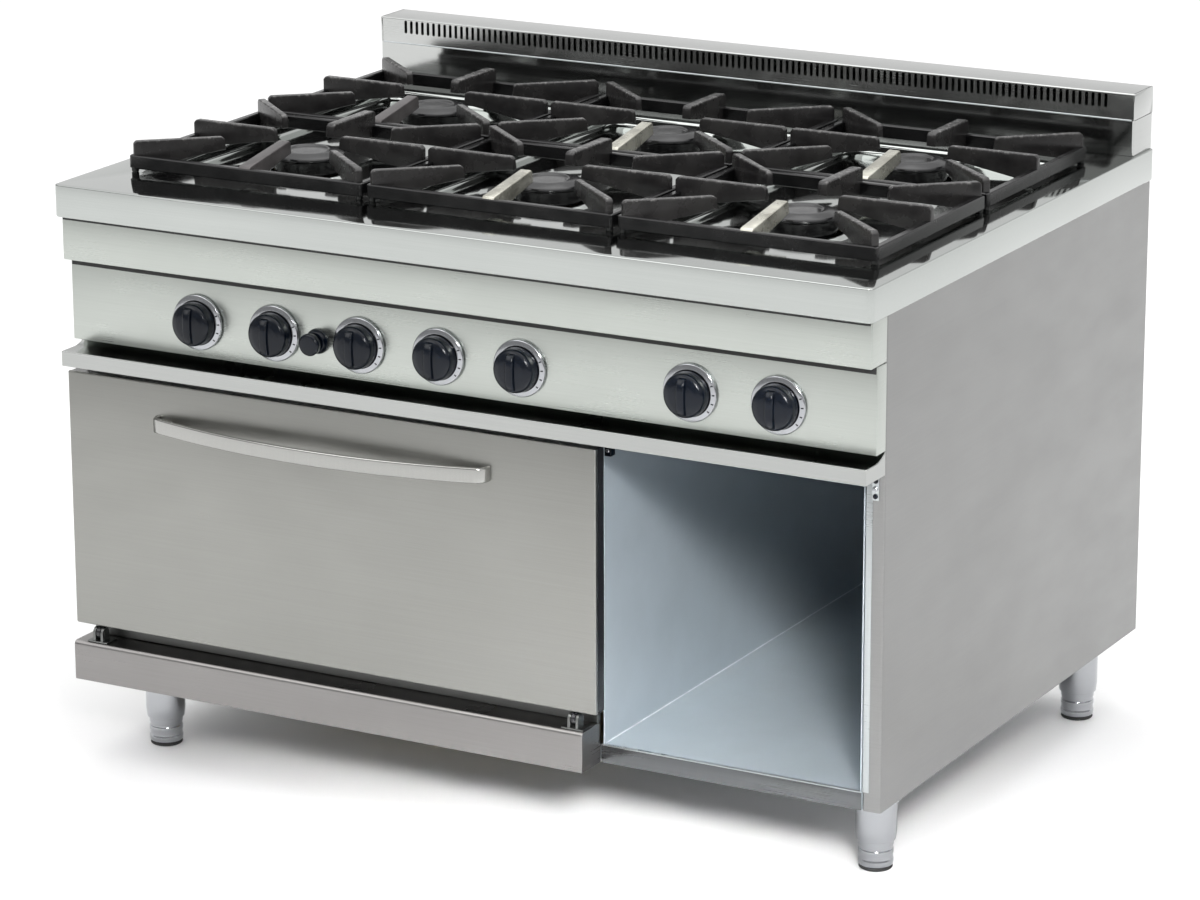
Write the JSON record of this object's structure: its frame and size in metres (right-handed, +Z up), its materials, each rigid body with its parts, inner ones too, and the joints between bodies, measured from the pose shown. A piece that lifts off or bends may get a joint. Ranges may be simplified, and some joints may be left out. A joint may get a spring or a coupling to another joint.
{
  "type": "commercial gas range",
  "caption": "Free-standing stainless gas range: open burners under lift-off grates, drop-down oven door with bowed handle, open side cabinet, low slotted flue and adjustable legs.",
  "frame": {"origin": "middle of the whole bounding box in plan, at floor level under the feet", "axes": "+X to the right along the front, +Y to the back, +Z up"},
  "size_m": [1.2, 0.934, 0.889],
  "materials": {
    "stainless_brushed": "fine horizontal brushed grain, semi-matt",
    "stainless_polished": "bright, almost mirror-like, with a faint brushed grain",
    "stainless_satin": "satin, soft-edged reflections",
    "galvanised_steel": "dull zinc with faint spangle",
    "chrome": "mirror chrome",
    "cast_iron": "black semi-gloss enamelled casting with a pebbled skin",
    "black_enamel": "gloss vitreous black enamel",
    "knob_black": "glossy blue-black moulded plastic",
    "black_rubber": "matt black",
    "brass": "turned brass, slightly dulled",
    "mineral_wool": "matt fibrous yellow-brown"
  },
  "bodies": {
    "range_body": {"side_panel_left": "stainless_brushed", "side_panel_right": "stainless_brushed", "base_frame": "galvanised_steel", "back_panel": "galvanised_steel", "worktop": "stainless_polished", "splash_back": "stainless_polished", "flue_hood": "stainless_polished", "burner_front_left": "cast_iron", "burner_cap_front_left": "black_enamel", "burner_front_centre": "cast_iron", "burner_cap_front_centre": "black_enamel", "burner_front_right": "cast_iron", "burner_cap_front_right": "black_enamel", "burner_rear_left": "cast_iron", "burner_cap_rear_left": "black_enamel", "burner_rear_centre": "cast_iron", "burner_cap_rear_centre": "black_enamel", "burner_rear_right": "cast_iron", "burner_cap_rear_right": "black_enamel", "front_rail": "stainless_brushed", "control_panel": "stainless_brushed", "panel_ledge": "stainless_polished", "kick_panel": "stainless_brushed", "gas_manifold": "brass", "oven_cavity": "black_enamel", "oven_face_frame": "stainless_satin", "oven_insulation": "mineral_wool", "oven_burner": "galvanised_steel", "oven_floor_plate": "cast_iron", "oven_rack": "chrome", "oven_gasket": "black_rubber", "door_hinge_left": "stainless_satin", "door_hinge_right": "stainless_satin", "cabinet_liner": "stainless_brushed", "cabinet_floor": "stainless_brushed", "leg_sleeve_front_left": "chrome", "leg_sleeve_front_right": "chrome", "leg_sleeve_rear_left": "chrome", "leg_sleeve_rear_right": "chrome"},
    "oven_door": {"oven_door_skin": "stainless_brushed", "oven_door_liner": "black_enamel", "oven_handle": "stainless_polished"},
    "front_left_knob": {"knob_front_left": "knob_black"},
    "rear_left_knob": {"knob_rear_left": "knob_black"},
    "oven_knob": {"knob_oven": "knob_black"},
    "front_centre_knob": {"knob_front_centre": "knob_black"},
    "rear_centre_knob": {"knob_rear_centre": "knob_black"},
    "front_right_knob": {"knob_front_right": "knob_black"},
    "rear_right_knob": {"knob_rear_right": "knob_black"},
    "igniter": {"igniter_button": "knob_black"},
    "front_left_grate": {"grate_front_left": "cast_iron"},
    "front_centre_grate": {"grate_front_centre": "cast_iron"},
    "front_right_grate": {"grate_front_right": "cast_iron"},
    "rear_left_grate": {"grate_rear_left": "cast_iron"},
    "rear_centre_grate": {"grate_rear_centre": "cast_iron"},
    "rear_right_grate": {"grate_rear_right": "cast_iron"},
    "front_left_foot": {"leg_foot_front_left": "chrome"},
    "front_right_foot": {"leg_foot_front_right": "chrome"},
    "rear_left_foot": {"leg_foot_rear_left": "chrome"},
    "rear_right_foot": {"leg_foot_rear_right": "chrome"}
  },
  "joints": [
    {"name": "oven_door_hinge", "type": "hinge", "parent": "range_body", "child": "oven_door", "pos_m": [-0.191, -0.407, 0.18], "axis": [1, 0, 0], "range_deg": [0, 90]},
    {"name": "front_left_knob_turn", "type": "hinge", "parent": "range_body", "child": "front_left_knob", "pos_m": [-0.393, -0.397, 0.634], "axis": [0, -1, 0], "range_deg": [0, 210]},
    {"name": "rear_left_knob_turn", "type": "hinge", "parent": "range_body", "child": "rear_left_knob", "pos_m": [-0.274, -0.397, 0.634], "axis": [0, -1, 0], "range_deg": [0, 210]},
    {"name": "oven_knob_turn", "type": "hinge", "parent": "range_body", "child": "oven_knob", "pos_m": [-0.144, -0.397, 0.634], "axis": [0, -1, 0], "range_deg": [0, 270]},
    {"name": "front_centre_knob_turn", "type": "hinge", "parent": "range_body", "child": "front_centre_knob", "pos_m": [-0.025, -0.397, 0.634], "axis": [0, -1, 0], "range_deg": [0, 210]},
    {"name": "rear_centre_knob_turn", "type": "hinge", "parent": "range_body", "child": "rear_centre_knob", "pos_m": [0.095, -0.397, 0.634], "axis": [0, -1, 0], "range_deg": [0, 210]},
    {"name": "front_right_knob_turn", "type": "hinge", "parent": "range_body", "child": "front_right_knob", "pos_m": [0.339, -0.397, 0.634], "axis": [0, -1, 0], "range_deg": [0, 210]},
    {"name": "rear_right_knob_turn", "type": "hinge", "parent": "range_body", "child": "rear_right_knob", "pos_m": [0.462, -0.397, 0.634], "axis": [0, -1, 0], "range_deg": [0, 210]},
    {"name": "igniter_press", "type": "slide", "parent": "range_body", "child": "igniter", "axis": [0, 1, 0], "range_m": [0, 0.005], "stiffness_N_per_m": 800},
    {"name": "front_left_grate_lift", "type": "slide", "parent": "range_body", "child": "front_left_grate", "axis": [0, 0, 1], "range_m": [0, 0.12]},
    {"name": "front_centre_grate_lift", "type": "slide", "parent": "range_body", "child": "front_centre_grate", "axis": [0, 0, 1], "range_m": [0, 0.12]},
    {"name": "front_right_grate_lift", "type": "slide", "parent": "range_body", "child": "front_right_grate", "axis": [0, 0, 1], "range_m": [0, 0.12]},
    {"name": "rear_left_grate_lift", "type": "slide", "parent": "range_body", "child": "rear_left_grate", "axis": [0, 0, 1], "range_m": [0, 0.12]},
    {"name": "rear_centre_grate_lift", "type": "slide", "parent": "range_body", "child": "rear_centre_grate", "axis": [0, 0, 1], "range_m": [0, 0.12]},
    {"name": "rear_right_grate_lift", "type": "slide", "parent": "range_body", "child": "rear_right_grate", "axis": [0, 0, 1], "range_m": [0, 0.12]},
    {"name": "front_left_foot_level", "type": "slide", "parent": "range_body", "child": "front_left_foot", "axis": [0, 0, -1], "range_m": [-0.02, 0.025]},
    {"name": "front_right_foot_level", "type": "slide", "parent": "range_body", "child": "front_right_foot", "axis": [0, 0, -1], "range_m": [-0.02, 0.025]},
    {"name": "rear_left_foot_level", "type": "slide", "parent": "range_body", "child": "rear_left_foot", "axis": [0, 0, -1], "range_m": [-0.02, 0.025]},
    {"name": "rear_right_foot_level", "type": "slide", "parent": "range_body", "child": "rear_right_foot", "axis": [0, 0, -1], "range_m": [-0.02, 0.025]}
  ]
}
